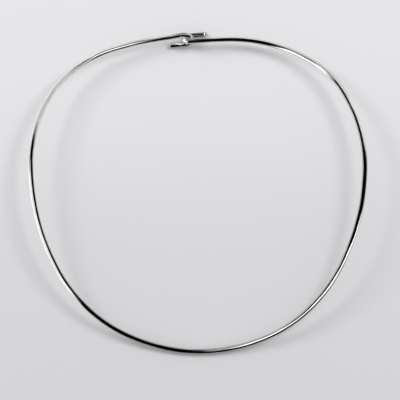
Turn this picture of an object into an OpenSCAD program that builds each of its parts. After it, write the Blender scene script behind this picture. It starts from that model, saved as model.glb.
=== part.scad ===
// Rigid choker: one round silver wire, bent to a ring for the neck, with a hook at each end.
// Millimetres, +Z up. The front lies at -Y and the hooks at +Y, and the ring rests at z = 0.

/* [Wire] */
// Diameter of the round wire
wire_d = 2; // [1.7:0.05:2.1]

/* [Ring] */
// Width across the sides, between wire centres
ring_w = 132; // [126:1:145]
// Radius of the drum that the ring is bowed over, which lifts its sides off the table
bow_r = 210; // [190:5:300]
// Distance of the bow's crest behind the ring's middle
bow_y = 5.5; // [3:0.5:7]

/* [Hooks] */
// Height of each hook, from the arm's centre down to the tail's
hook_h = 4.4; // [4.4:0.1:5]
// Sideways step of the left hook, from its arm to its tail
left_step = 3.5; // [3.5:0.1:4.2]
// Sideways step of the right hook, from its arm to its tail
right_step = 2.5; // [2.4:0.1:3]
// Distance between the two arms where they lie side by side
arms_apart = 2.5; // [2.5:0.1:3]
// Straight length of the left tail, without its rounded tip
left_tail = 5.6; // [4:0.1:8]
// Straight length of the right tail, without its rounded tip
right_tail = 5.9; // [4:0.1:8]

/* [Hidden] */

wire_r = wire_d / 2;

// Sleeve over each joint of two bends, a hair proud of the wire, so that they join into one solid
sleeve_proud = 0.02;
sleeve_len = 0.4;

// Sides of the wire's section, and steps in a full turn of a bend
section_fn = 48;
turn_fn = 180;

// Below this the two headings of a span count as parallel
parallel = 0.000001;

// Width of the ring that the tables below describe, and the factor to the ring that is made
table_w = 132;
fit = ring_w / table_w;

// Middle of the front seen from above, where both sides start: x, y
FRONT = [0, -63.4];

// Stations of the wire's centre on each side, from the front round to the hook, x outwards: x, y
// The two sides differ by a few tenths of a millimetre, because the ring is bent by hand.
LEFT_SIDE = [
  [20, -60], [37.3, -51.4], [51, -37.8], [60.6, -19.3], [65.2, -0.4], [65.5, 18.6],
  [61.4, 33.2], [53, 45.6], [41, 54.2], [27, 59], [12.5, 61.8],
];
RIGHT_SIDE = [
  [20, -60.4], [37.6, -51.8], [51.3, -37.9], [60.6, -19.4], [65.2, -0.4], [65.3, 18.6],
  [61.2, 33], [53.4, 45.6], [41.6, 54.3], [27, 59.5],
];

// Middle of the clasp, and where each hook's bend starts, measured from that middle
clasp_middle = [-4, 61.2] * fit;
left_start = [-1.6, 1.6];
right_start = [1, left_start.y - arms_apart];

// Compass direction in which each arm runs into its hook, anticlockwise from +X
left_course = 5;
right_course = 185;

LEFT = -1;
RIGHT = 1;

function unit(v) = v / norm(v);

// Level direction of a compass course
function level(course) = [cos(course), sin(course), 0];

// How far a drum of radius bow_r falls away from its crest at y
function fall(y) = bow_r - sqrt(bow_r ^ 2 - (y - bow_y) ^ 2);

// Height of the wire's centre at y, with the front lying on the table
function lift(y) = wire_r + fall(FRONT.y * fit) - fall(y);

// Point on the wire's centre for one row of a table
function station(row, side) = [side * row.x * fit, row.y * fit, lift(row.y * fit)];

// Heading at b of the circle through a, b and c
function heading_at(a, b, c) = let (p = b - a, q = c - b) unit(p / (p * p) + q / (q * q));

// Where a hook's bend starts, at the end of its arm
function hook_start(start) =
  [clasp_middle.x + start.x, clasp_middle.y + start.y, wire_r + hook_h];

// Step from the start of a hook's bend to its end: down, and sideways under the other arm
function hook_step(course, step) = step * level(course - 90) - [0, 0, hook_h];

// Rows of point and heading along one side, from the front to the hook
function knots(side, table, start, course) =
  let (
    points = [for (row = concat([FRONT], table)) station(row, side), hook_start(start)],
    last = len(points) - 1
  )
  [for (i = [0:last]) [
    points[i],
    i == 0 ? [side, 0, 0] :
    i == last ? level(course) :
    heading_at(points[i - 1], points[i], points[i + 1])
  ]];

// Length of the equal handles that join two headings a and b over v by two tangent arcs
function handle(v, a, b) =
  let (sum = a + b, turn = 2 * (1 - a * b))
  turn < parallel ? v * v / (2 * (v * sum)) :
  (sqrt((v * sum) ^ 2 + turn * (v * v)) - v * sum) / turn;

// The two bends between two knots, as rows of start, heading and end
function span(from, to) =
  let (
    d = handle(to[0] - from[0], from[1], to[1]),
    near = from[0] + d * from[1],
    far = to[0] - d * to[1]
  )
  [
    [from[0], from[1], (near + far) / 2],
    [(near + far) / 2, unit(far - near), to[0]]
  ];

// One bend of round wire that leaves start along the heading and ends at end
module bend(start, heading, end) {
  reach = end - start;
  along = reach * heading;
  inward = unit(reach - along * heading);
  across = reach * inward;
  bend_r = reach * reach / (2 * across);
  up = cross(heading, inward);
  multmatrix([
    [heading.x, inward.x, up.x, start.x],
    [heading.y, inward.y, up.y, start.y],
    [heading.z, inward.z, up.z, start.z]
  ])
    translate([0, bend_r, 0])
      rotate([0, 0, -90])
        rotate_extrude(angle = 2 * atan2(across, along), $fn = turn_fn)
          translate([bend_r, 0])
            circle(d = wire_d, $fn = section_fn);
}

// Sleeve over the joint of two bends
module sleeve(place, heading) {
  translate(place)
    rotate([0, acos(heading.z), atan2(heading.y, heading.x)])
      cylinder(r = wire_r + sleeve_proud, h = sleeve_len, center = true, $fn = section_fn);
}

// Straight tail of a hook, with a rounded tip
module tail(start, course, length) {
  translate(start)
    rotate([0, 90, course]) {
      cylinder(d = wire_d, h = length, $fn = section_fn);
      translate([0, 0, length])
        sphere(d = wire_d, $fn = section_fn);
    }
}

// One side of the ring, from the front to the tip of its hook
module half(side, table, start, course, step, tail_length) {
  path = knots(side, table, start, course);
  for (i = [0:len(path) - 2]) {
    for (row = span(path[i], path[i + 1])) {
      sleeve(row[0], row[1]);
      bend(row[0], row[1], row[2]);
    }
  }
  hook = path[len(path) - 1];
  tail_start = hook[0] + hook_step(course, step);
  sleeve(hook[0], hook[1]);
  bend(hook[0], hook[1], tail_start);
  sleeve(tail_start, hook[1]);
  tail(tail_start, course + 180, tail_length);
}

module neck_wire() {
  color("silver") {
    half(LEFT, LEFT_SIDE, left_start, left_course, left_step, left_tail);
    half(RIGHT, RIGHT_SIDE, right_start, right_course, right_step, right_tail);
  }
}

neck_wire();
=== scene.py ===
# %% [markdown]
# This lesson dresses a rigid choker: one length of round silver wire, bent to a ring that is open for
# the neck, with a hook at each end. The imported model already has the true shape and size, so we load
# it first. Everything we make has to stay inside that box.

# %% The frame
import math

import bpy
from mathutils import Matrix, Vector


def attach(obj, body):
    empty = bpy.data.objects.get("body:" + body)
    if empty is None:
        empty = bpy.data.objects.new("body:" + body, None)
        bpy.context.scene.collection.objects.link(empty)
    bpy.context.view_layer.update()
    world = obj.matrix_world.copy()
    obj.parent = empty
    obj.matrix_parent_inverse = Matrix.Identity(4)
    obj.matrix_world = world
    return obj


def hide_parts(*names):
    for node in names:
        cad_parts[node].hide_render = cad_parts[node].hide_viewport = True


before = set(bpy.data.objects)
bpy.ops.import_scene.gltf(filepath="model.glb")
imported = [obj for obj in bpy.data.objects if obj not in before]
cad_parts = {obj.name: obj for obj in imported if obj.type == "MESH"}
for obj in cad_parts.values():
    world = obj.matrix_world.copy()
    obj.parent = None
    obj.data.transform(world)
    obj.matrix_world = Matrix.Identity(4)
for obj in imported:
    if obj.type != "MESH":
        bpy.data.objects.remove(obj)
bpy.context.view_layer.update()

scene = bpy.context.scene

# %% [markdown]
# The photographer stood right over the ring and looked straight down. A long lens a metre away gives
# the same weak perspective as the picture, so the raised sides of the ring look hardly larger than
# its front. Blender's default sensor is 36 mm wide: the width that fits into the picture is the
# sensor's width times the distance, over the lens.

# %% Camera
MM = 0.001
camera_height = 1.0
camera_data = bpy.data.cameras.new("camera")
camera_data.lens = 225
camera = bpy.data.objects.new("camera", camera_data)
camera.location = (0.76 * MM, -2.82 * MM, camera_height)
scene.collection.objects.link(camera)
scene.camera = camera
picture_width = camera_data.sensor_width * camera_height / camera_data.lens
print("the picture is", round(1000 * picture_width), "mm wide")

# %% [markdown]
# The wire's sizes come next. A goldsmith draws the wire to one gauge, then bends it: first the flat
# outline, then a slight bow over a large drum, which lifts both sides so that the ring sits well on
# the collar bones. We keep those same few numbers here, in metres.

# %% Sizes of the wire and the ring
wire_r = 2 * MM / 2
bow_r = 210 * MM
bow_y = 5.5 * MM
hook_h = 4.4 * MM
print("wire", round(2000 * wire_r, 2), "mm thick, bowed over a radius of", round(1000 * bow_r), "mm")

# %% [markdown]
# Seen from above, the outline is a soft round triangle rather than a circle, so one formula won't do.
# We could draw a Bezier curve by hand, but its sections bulge unevenly, and polished wire shows every
# bulge in its reflections. Instead we name a few stations that the wire passes through, one row for
# each, and join them by true arcs, as bending pliers do.

# %% Stations seen from above, in millimetres, from the front round to the hooks
FRONT = (0, -63.4)
LEFT_SIDE = [
    (20, -60), (37.3, -51.4), (51, -37.8), (60.6, -19.3), (65.2, -0.4), (65.5, 18.6),
    (61.4, 33.2), (53, 45.6), (41, 54.2), (27, 59), (12.5, 61.8),
]
RIGHT_SIDE = [
    (20, -60.4), (37.6, -51.8), (51.3, -37.9), (60.6, -19.4), (65.2, -0.4), (65.3, 18.6),
    (61.2, 33), (53.4, 45.6), (41.6, 54.3), (27, 59.5),
]
LEFT, RIGHT = -1, 1


def fall(y):
    """How far the drum falls away from its crest at y."""
    return bow_r - math.sqrt(bow_r ** 2 - (y - bow_y) ** 2)


def lift(y):
    """Height of the wire's centre at y, with the front lying on the floor."""
    return wire_r + fall(FRONT[1] * MM) - fall(y)


def station(row, side):
    """Point on the wire's centre for one row of a table."""
    return Vector((side * row[0] * MM, row[1] * MM, lift(row[1] * MM)))


print("the sides rise", round(1000 * lift(bow_y), 1), "mm, the arms", round(1000 * lift(62 * MM), 1), "mm")

# %% [markdown]
# Each station needs a heading, the way in which the wire runs through it. The circle through a
# station and its two neighbours gives a heading that suits both sides. Two arcs that meet on the way
# then join one station and heading to the next without a kink.

# %% Headings and arcs
def heading_at(a, b, c):
    """Heading at b of the circle through a, b and c."""
    p, q = b - a, c - b
    return (p / p.length_squared + q / q.length_squared).normalized()


def handle(v, a, b):
    """Length of the equal handles that join headings a and b over v by two tangent arcs."""
    both, turn = a + b, 2 * (1 - a.dot(b))
    if turn < 1e-6:
        return v.length_squared / (2 * v.dot(both))
    return (math.sqrt(v.dot(both) ** 2 + turn * v.length_squared) - v.dot(both)) / turn


def arc(start, heading, end, step):
    """Points and headings along the arc that leaves start along the heading and ends at end."""
    reach = end - start
    along = reach.dot(heading)
    inward = (reach - along * heading).normalized()
    across = reach.dot(inward)
    radius = reach.length_squared / (2 * across)
    turn = 2 * math.atan2(across, along)
    count = math.ceil(radius * turn / step)
    for k in range(count):
        sine, cosine = math.sin(turn * k / count), math.cos(turn * k / count)
        yield start + radius * (sine * heading + (1 - cosine) * inward), cosine * heading + sine * inward


def two_arcs(start, heading, end, end_heading, step):
    """Points and headings along the two arcs between two stations."""
    d = handle(end - start, heading, end_heading)
    near, far = start + d * heading, end - d * end_heading
    yield from arc(start, heading, (near + far) / 2, step)
    yield from arc((near + far) / 2, (far - near).normalized(), end, step)


# %% [markdown]
# At each end the wire turns back on itself in a half circle that also dips under the other arm. Its
# tail is straight. The left hook catches the right arm and the right hook the left one, so the ring
# can't spring open. Both are worked out from the middle of the clasp and the course of each arm.

# %% The clasp
clasp_middle = Vector((-4, 61.2, 0)) * MM
hook_level = wire_r + hook_h
CLASP = {
    LEFT: {"side": LEFT_SIDE, "start": (-1.6, 1.6), "course": 5, "step": 3.5, "tail": 5.6},
    RIGHT: {"side": RIGHT_SIDE, "start": (1, -0.9), "course": 185, "step": 2.5, "tail": 5.9},
}


def level(course):
    """Level direction of a compass course, in degrees anticlockwise from +X."""
    return Vector((math.cos(math.radians(course)), math.sin(math.radians(course)), 0))


def half(side, step, hook_step):
    """Points and headings from the front of the ring to the end of one straight tail."""
    clasp = CLASP[side]
    knots = [station(row, side) for row in [FRONT] + clasp["side"]]
    knots.append(clasp_middle + Vector((*clasp["start"], 0)) * MM + Vector((0, 0, hook_level)))
    course = level(clasp["course"])
    inner = [heading_at(*knots[k - 1:k + 2]) for k in range(1, len(knots) - 1)]
    headings = [Vector((side, 0, 0)), *inner, course]
    for k in range(len(knots) - 1):
        yield from two_arcs(knots[k], headings[k], knots[k + 1], headings[k + 1], step)
    dip = clasp["step"] * MM * level(clasp["course"] - 90) - Vector((0, 0, hook_h))
    tail_start = knots[-1] + dip
    yield from arc(knots[-1], course, tail_start, hook_step)
    length = clasp["tail"] * MM
    for k in range(11):
        yield tail_start - course * length * k / 10, -course


bow_step, hook_bend_step = 0.5 * MM, 0.12 * MM
left_run = [(point, -heading) for point, heading in half(LEFT, bow_step, hook_bend_step)]
right_run = list(half(RIGHT, bow_step, hook_bend_step))
run = left_run[:0:-1] + right_run
lengths = [0.0]
for (a, _), (b, _) in zip(run, run[1:]):
    lengths.append(lengths[-1] + (b - a).length)
print(len(run), "rings along", round(lengths[-1] * 1000), "mm of wire")

# %% [markdown]
# A tail's end is filed and polished round, so that it neither scratches nor catches a thread. We add a
# few shrinking rings past each end of the run, like the circles of latitude towards a pole.

# %% Round tips
tip_steps = 12


def round_tip(point, heading, length, way):
    """Rings of centre, heading, radius and length past one end of the run, the outermost last."""
    rings = []
    for k in range(1, tip_steps):
        turn = math.pi / 2 * k / tip_steps
        out = wire_r * math.sin(turn)
        rings.append((point + way * out * heading, heading, wire_r * math.cos(turn), length + way * out))
    return rings


first, last = (*run[0], lengths[0]), (*run[-1], lengths[-1])
rings = round_tip(*first, -1)[::-1]
rings += [(point, heading, wire_r, length) for (point, heading), length in zip(run, lengths)]
rings += round_tip(*last, 1)
print(len(rings), "rings with the round tips")

# %% [markdown]
# Now the rings become a mesh. A ring of points has to keep its place round the wire from one ring to
# the next, or the skin twists. We carry a side vector along and square it to each new heading. Blender
# could also bevel a curve, but a mesh of our own carries a map with it: the first number is the
# distance along the wire in metres, the second the way round it from 0 to 1. The finish uses that.

# %% The swept wire
around = 48


def sweep(name, rings, sides):
    """A closed skin over the rings, with the map of distance and way round."""
    verts, side = [], Vector((0, 0, 1)).cross(rings[0][1])
    for centre, heading, radius, _ in rings:
        side = (side - side.dot(heading) * heading).normalized()
        other = heading.cross(side)
        for k in range(sides):
            turn = 2 * math.pi * k / sides
            verts.append(centre + radius * (math.cos(turn) * side + math.sin(turn) * other))
    faces, places = [], []
    for i in range(len(rings) - 1):
        for k in range(sides):
            n = (k + 1) % sides
            faces.append((i * sides + k, i * sides + n, (i + 1) * sides + n, (i + 1) * sides + k))
            here, there = rings[i][3], rings[i + 1][3]
            places += [(here, k / sides), (here, (k + 1) / sides)]
            places += [(there, (k + 1) / sides), (there, k / sides)]
    for i, order in ((0, -1), (len(rings) - 1, 1)):
        faces.append(tuple(i * sides + k for k in range(sides))[::order])
        places += [(rings[i][3], k / sides) for k in range(sides)][::order]
    mesh = bpy.data.meshes.new(name)
    mesh.from_pydata(verts, [], faces)
    layer = mesh.uv_layers.new(name="run")
    layer.data.foreach_set("uv", [value for place in places for value in place])
    mesh.shade_smooth()
    mesh.validate()
    return mesh


wire_mesh = sweep("silver_wire", rings, around)
wire = bpy.data.objects.new("silver_wire", wire_mesh)
scene.collection.objects.link(wire)
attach(wire, "root")
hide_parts("neck_wire")
print("the wire has", len(wire_mesh.polygons), "faces")

# %% [markdown]
# A finish is a tree of nodes, and trees drawn by hand in Python are hard to read. This small class
# wraps one output socket, so that a formula such as 1 - 0.3 * mask adds the Math nodes itself. Every
# other kind of node comes from its one method, which takes the node's type, its settings, and the
# values or links of its sockets.

# %% Formulas as nodes
class Signal:
    """One output socket of a node tree."""

    def __init__(self, socket):
        self.socket = socket

    @classmethod
    def node(cls, tree, kind, settings=None, sockets=None, out=0):
        """Adds a node, sets it up, fills its sockets, and gives one of its outputs."""
        made = tree.nodes.new(kind)
        for name, value in (settings or {}).items():
            setattr(made, name, value)
        for name, value in (sockets or {}).items():
            if isinstance(value, cls):
                tree.links.new(value.socket, made.inputs[name])
            else:
                made.inputs[name].default_value = value
        return cls(made.outputs[out])

    def also(self, kind, settings=None, sockets=None, out=0):
        """The same, in the tree that this signal is in."""
        return Signal.node(self.socket.id_data, kind, settings, sockets, out)

    def math(self, operation, first, second=0.0):
        return self.also("ShaderNodeMath", {"operation": operation}, {0: first, 1: second})

    def __add__(self, other):
        return self.math("ADD", self, other)

    def __sub__(self, other):
        return self.math("SUBTRACT", self, other)

    def __rsub__(self, other):
        return self.math("SUBTRACT", other, self)

    def __mul__(self, other):
        return self.math("MULTIPLY", self, other)

    __radd__ = __add__
    __rmul__ = __mul__

    def axis(self, number):
        """One of a vector's three numbers: 0, 1 or 2 for X, Y or Z."""
        return self.also("ShaderNodeSeparateXYZ", None, {0: self}, number)

    def above(self, low, high):
        """0 below low, 1 above high, and a soft step between."""
        sockets = {"Value": self, "From Min": low, "From Max": high}
        return self.also("ShaderNodeMapRange", {"interpolation_type": "SMOOTHSTEP"}, sockets)


def new_finish(name):
    """A material with its tree, and its shader node."""
    material = bpy.data.materials.new(name)
    material.use_nodes = True
    shader = material.node_tree.nodes["Principled BSDF"]
    return material, material.node_tree, shader


# %% [markdown]
# Drawn wire keeps faint lines along its length from the draw plate, and polishing leaves hairlines
# across it. Both are finer than a tenth of a millimetre. We read the wire's own map and turn the way
# round it into a circle, because a pattern laid on the flat map would show a seam where 1 meets 0.

# %% Coordinates on the wire
silver, tree, shader = new_finish("polished_silver")
place = Signal.node(tree, "ShaderNodeUVMap", {"uv_map": "run"})
along = place.axis(0)
turn = place.axis(1) * (2 * math.pi)
cosine, sine = turn.math("COSINE", turn), turn.math("SINE", turn)


def on_wire(per_metre, round_it):
    """A vector that runs at one rate along the wire and at another round it."""
    sockets = {0: along * per_metre, 1: cosine * round_it, 2: sine * round_it}
    return along.also("ShaderNodeCombineXYZ", None, sockets)


def grain(per_metre, round_it, detail=2.0):
    """Noise from 0 to 1, stretched along or across the wire by its two rates."""
    sockets = {"Vector": on_wire(per_metre, round_it), "Scale": 1.0, "Detail": detail}
    return along.also("ShaderNodeTexNoise", None, sockets)


print(len(tree.nodes), "nodes lead from the map to the circle round the wire")

# %% [markdown]
# Three layers make the polish. The draw lines are long and close together. The hairlines run across,
# and most of the wire is spared from them. The swells are slow, shallow unevenness from bending by
# hand, which makes the edge of a reflection wander a little, as it does on real wire.

# %% Draw lines, hairlines and swells
draw_lines = grain(40, 9)
hairlines = grain(5000, 1.5).above(0.55, 0.72)
spared = grain(90, 0.7).above(0.35, 0.6)
scuffs = hairlines * (1 - spared)
swells = grain(160, 0.7, 0.0)
height = 80 * swells + 2 * draw_lines - scuffs
bump = height.also("ShaderNodeBump", None, {"Strength": 1.0, "Distance": 2e-6, "Height": height})
tree.links.new(bump.socket, shader.inputs["Normal"])
print("with the polish there are", len(tree.nodes), "nodes")

# %% [markdown]
# Silver mirrors nearly all the light with the faintest warm tint. Where hands touch it less it dulls
# by a breath of tarnish, which darkens and warms it and makes its gloss a little softer. We let that
# grow in slow clouds, and only slightly, because the piece is well kept.

# %% Colour and gloss
clouds = grain(45, 0.9, 3.0).above(0.45, 0.85)
tint = clouds.also(
    "ShaderNodeMix", {"data_type": "RGBA"},
    {0: 0.5 * clouds, 6: (0.93, 0.928, 0.92, 1), 7: (0.80, 0.785, 0.755, 1)}, 2)
gloss = 0.035 + 0.05 * clouds + 0.02 * draw_lines + 0.06 * scuffs
tree.links.new(tint.socket, shader.inputs["Base Color"])
tree.links.new(gloss.socket, shader.inputs["Roughness"])
shader.inputs["Metallic"].default_value = 1.0
wire_mesh.materials.append(silver)
print("the silver has", len(tree.nodes), "nodes")

# %% [markdown]
# The ring lies on a plain pale floor. Pure white would blow out, so the floor is a very light grey,
# with a trace of unevenness that keeps it from looking computed. More light falls on the floor towards
# the back, and a soft step from front to back paints that light into its colour as a paler tone: painted
# light. The wire mirrors the floor along both of its edges, and those edges look dark except on the
# left. A photographer gets that by laying dark cards just out of view. We paint that dark reflection
# into the floor's colour instead, for reflected rays only.

# %% Floor
floor_half = 3.0
floor_mesh = bpy.data.meshes.new("floor")
corners = [(-1, -1), (1, -1), (1, 1), (-1, 1)]
floor_mesh.from_pydata([(x * floor_half, y * floor_half, 0) for x, y in corners], [], [(0, 1, 2, 3)])
floor = bpy.data.objects.new("floor", floor_mesh)
scene.collection.objects.link(floor)
paper, paper_tree, paper_shader = new_finish("pale_floor")
spot = Signal.node(paper_tree, "ShaderNodeTexCoord", None, None, 3)
mottle = spot.also("ShaderNodeTexNoise", None, {"Vector": spot, "Scale": 18.0, "Detail": 2.0})
# painted light: the floor's colour gets paler towards the back, standing in for the stronger light there
painted_light_towards_back = spot.axis(1).above(-0.03, 0.05)
floor_tone_and_painted_light = mottle.also(
    "ShaderNodeMix", {"data_type": "RGBA"},
    {0: 0.85 * painted_light_towards_back + 0.15 * mottle, 6: (0.79, 0.79, 0.8, 1), 7: (0.875, 0.875, 0.885, 1)}, 2)
# painted reflection: reflected rays see the floor's colour darkened past the left side, standing in for
# dark cards
painted_reflection_strength = 0.45
in_reflection = spot.also("ShaderNodeLightPath", None, None, 3)
past_left_side = spot.axis(0).above(-0.056, -0.044)
painted_dark_reflection = painted_reflection_strength * in_reflection * past_left_side
seen = floor_tone_and_painted_light.also("ShaderNodeMix", {"data_type": "RGBA"}, {0: painted_dark_reflection, 6: floor_tone_and_painted_light, 7: (0, 0, 0, 1)}, 2)
paper_tree.links.new(seen.socket, paper_shader.inputs["Base Color"])
paper_shader.inputs["Roughness"].default_value = 0.9
paper_shader.inputs["Specular IOR Level"].default_value = 0.0
floor_mesh.materials.append(paper)
print("the floor is", round(2 * floor_half), "m wide")

# %% [markdown]
# Two soft boxes stand behind the ring, one on each side. They light the floor and throw the two faint
# shadows that run beside the wire. We keep them out of the reflections, which get lights of their own
# below. An area light's power is spread over its face, so we give each box a brightness instead and
# work out the watts.

# %% Soft boxes
def soft_box(name, azimuth, zenith, distance, width, height, brightness):
    """A rectangular light that faces the middle of the ring, by its direction as seen from there."""
    data = bpy.data.lights.new(name, "AREA")
    data.shape = "RECTANGLE"
    data.size, data.size_y = width, height
    data.energy = brightness * math.pi * width * height
    light = bpy.data.objects.new(name, data)
    a, z = math.radians(azimuth), math.radians(zenith)
    position = Vector((math.sin(z) * math.cos(a), math.sin(z) * math.sin(a), math.cos(z))) * distance
    light.location = position
    light.rotation_euler = position.to_track_quat("Z", "Y").to_euler()
    light.visible_camera = False
    scene.collection.objects.link(light)
    return light


left_box = soft_box("left_box", 142, 54, 0.9, 0.3, 0.3, 8.6)
right_box = soft_box("right_box", 42, 40, 0.9, 0.3, 0.3, 8.3)
left_box.visible_glossy = right_box.visible_glossy = False
print("soft boxes of", round(left_box.data.energy, 2), "and", round(right_box.data.energy, 2), "watts")

# %% [markdown]
# Polished wire has no look of its own: it shows the room. In the picture it's black for long stretches
# and carries bright lines in others, so small strip lights have to shape that, held close over the
# piece. A light that is close shows in one stretch of wire only. Each row of the table is one strip:
# the stretch that it serves, the share of the wire's width from -1, inside the ring, to 1, outside, at
# both of its ends, and how bright it is. The glints on the hooks are shorter, and keep the same edges
# from end to end.

# %% Strips: from and to in millimetres along the wire, low and high edge at each end, brightness
STRIPS = [
    (14, 58, 0.5, 0.85, 0.36, 0.85, 0.58),
    (12, 40, 0.1, 0.36, 0.0, 0.3, 0.24),
    (28, 58, -0.32, 0.06, -0.3, 0.04, 1.2),
    (50, 94, -0.75, -0.25, -0.75, -0.25, 0.56),
    (55, 94, -0.25, 0.25, -0.25, 0.25, 0.56),
    (50, 94, 0.25, 0.75, 0.25, 0.75, 0.56),
    (84, 106, -0.75, -0.4, -0.75, -0.7, 0.5),
    (86, 108, 0.6, 0.75, 0.3, 0.75, 0.6),
    (101, 164, 0.06, 0.5, 0.08, 0.5, 0.86),
    (101, 164, 0.5, 0.9, 0.5, 0.9, 0.84),
    (116, 156, -0.04, 0.07, -0.04, 0.07, 0.7),
    (217, 238, -0.45, 0.0, -0.4, 0.0, 0.4),
    (228, 258, -0.3, 0.03, -0.32, 0.0, 1.7),
    (250, 284, -0.22, -0.02, -0.06, 0.4, 1.6),
    (276, 311, -0.14, 0.36, 0.54, 0.86, 1.4),
    (212, 258, -0.8, -0.3, -0.8, -0.35, 0.17),
    (331, 352, 0.6, 0.85, -0.1, 0.8, 0.58),
    (343, 393, 0.0, 0.8, 0.32, 0.8, 0.52),
    (386, 424, 0.5, 0.8, 0.4, 0.8, 0.55),
    (364.5, 374.5, -0.95, -0.4, -0.95, -0.4, 1.6),
    (364.5, 378, -0.4, -0.1, -0.4, 0.06, 1.6),
    (370, 392, -0.95, 0.3, -0.78, -0.66, 1.25),
]
# Glints: from and to, low and high edge, brightness
GLINTS = [
    (427, 429.3, -0.45, 0.0, 1.4),
    (11, 17, 0.05, 0.45, 0.4),
    (0.5, 4.5, 0.3, 0.55, 0.8),
    (439.7, 440.2, -0.35, 0.35, 2.5),
]
print(len(STRIPS), "strips and", len(GLINTS), "glints")

# %% [markdown]
# The camera's line of sight goes on from the wire as from a mirror, and a light shows where that line
# meets it. So we need the spot on that line at a given gap past the wire. The rule of the mirror gives
# it: the line leaves at the same angle to the surface as it came.

# %% The mirrored line of sight
ring_middle = Vector((0, bow_y, 0))


def place_on_run(distance):
    """Point and heading at a distance along the wire, in millimetres from the end of the left tail."""
    i = next(k for k, length in enumerate(lengths) if length >= distance * MM)
    return run[i]


def mirrored(distance, offset, gap):
    """Point on the camera's line of sight at a gap past the wire, for an offset across the wire."""
    point, heading = place_on_run(distance)
    eye = (camera.location - point).normalized()
    out = heading.cross(Vector((0, 0, 1))).normalized()
    if out.dot(point - ring_middle) < 0:
        out.negate()
    crest = heading.cross(out)
    if crest.z < 0:
        crest.negate()
    normal = offset * out + math.sqrt(1 - offset ** 2) * crest
    return point + gap * (2 * normal.dot(eye) * normal - eye)


strip_gap, glint_gap = 20 * MM, 3 * MM
front_spot = mirrored(lengths[-1] / MM / 2, 0, strip_gap)
print("a light over the front hangs", round(1000 * front_spot.z), "mm over the floor")

# %% [markdown]
# A flat light can't follow the curved wire for long, so each strip is a chain of short ones that
# overlap by half. Each fades to nothing at both ends, so that the next one takes over smoothly. One long
# curved mesh that glows would do as well, but it would also stand in the way of other light.

# %% One short light
def fade_out(data):
    """Lets a light glow fully at its middle and not at all at its two ends."""
    data.use_nodes = True
    lamp = data.node_tree
    spread = Signal.node(lamp, "ShaderNodeNewGeometry", None, None, "Parametric")
    glow = 1 - spread.math("ABSOLUTE", 2 * spread.axis(0) - 1)
    lamp.links.new(glow.socket, lamp.nodes["Emission"].inputs["Color"])


def strip_light(name, gap, middle, half_length, low, high, slant, brightness):
    """One short light that shows round the middle distance, from the low to the high edge."""
    centre = (low + high) / 2
    start = mirrored(middle - half_length, centre - slant, gap)
    end = mirrored(middle + half_length, centre + slant, gap)
    inner, outer = mirrored(middle, low, gap), mirrored(middle, high, gap)
    x_axis = (end - start).normalized()
    away = (inner + outer) / 2 - place_on_run(middle)[0]
    z_axis = (away - away.dot(x_axis) * x_axis).normalized()
    y_axis = z_axis.cross(x_axis)
    data = bpy.data.lights.new(name, "AREA")
    data.shape = "RECTANGLE"
    data.size, data.size_y = (end - start).length, abs((outer - inner).dot(y_axis))
    data.energy = brightness * math.pi * data.size * data.size_y
    fade_out(data)
    light = bpy.data.objects.new(name, data)
    light.location = (inner + outer) / 2
    light.rotation_euler = Matrix((x_axis, y_axis, z_axis)).transposed().to_euler()
    light.visible_camera = light.visible_diffuse = False
    scene.collection.objects.link(light)


print("strips hang", round(1000 * strip_gap), "mm and glints", round(1000 * glint_gap), "mm past the wire")

# %% [markdown]
# Now the rows become lights. A strip's short lights start one step apart and are two steps long, and
# their edges move from the row's first pair to its last. The glints hang much closer to the wire,
# because the hooks bend so sharply that a light further off would show in the other arm too.

# %% Chains of short lights
chain_step = 8
lights_made = 0
for row, (begin, end, low_a, high_a, low_b, high_b, brightness) in enumerate(STRIPS):
    count = max(1, round((end - begin) / chain_step) - 1)
    half_length = (end - begin) / (count + 1)
    for k in range(count):
        share = (k + 1) / (count + 1)
        low, high = low_a + (low_b - low_a) * share, high_a + (high_b - high_a) * share
        slant = (low_b + high_b - low_a - high_a) / 2 / (count + 1)
        middle = begin + (end - begin) * share
        strip_light(f"strip_{row}_{k}", strip_gap, middle, half_length, low, high, slant, brightness)
        lights_made += 1
for number, (begin, end, low, high, brightness) in enumerate(GLINTS):
    middle, half_length = (begin + end) / 2, (end - begin) / 2
    strip_light(f"glint_{number}", glint_gap, middle, half_length, low, high, 0, brightness)
print(lights_made, "short lights make the strips")

# %% [markdown]
# The room itself is dark in the wire's reflections, but it still fills the shadows a little, and the
# camera should see a pale backdrop in the views from low down. The Light Path node tells these apart.

# %% Room
world = bpy.data.worlds.new("room")
world.use_nodes = True
scene.world = world
air = world.node_tree
backdrop = air.nodes["Background"]
fill, seen_behind, in_wire = 0.5, 0.75, 0.002
camera_ray = Signal.node(air, "ShaderNodeLightPath", None, None, 0)
glossy_ray = Signal.node(air, "ShaderNodeLightPath", None, None, 3)
room_brightness = fill + (seen_behind - fill) * camera_ray - (fill - in_wire) * glossy_ray
air.links.new(room_brightness.socket, backdrop.inputs["Strength"])
backdrop.inputs["Color"].default_value = (0.98, 0.98, 1.0, 1)
print("the room gives", fill, "to the floor and", in_wire, "to the wire")

# %% [markdown]
# Blender's default view softens bright tones as film does. The picture has plain, hard whites, so the
# standard view fits it better.

# %% View
scene.view_settings.view_transform = "Standard"
print("the view is", scene.view_settings.view_transform)
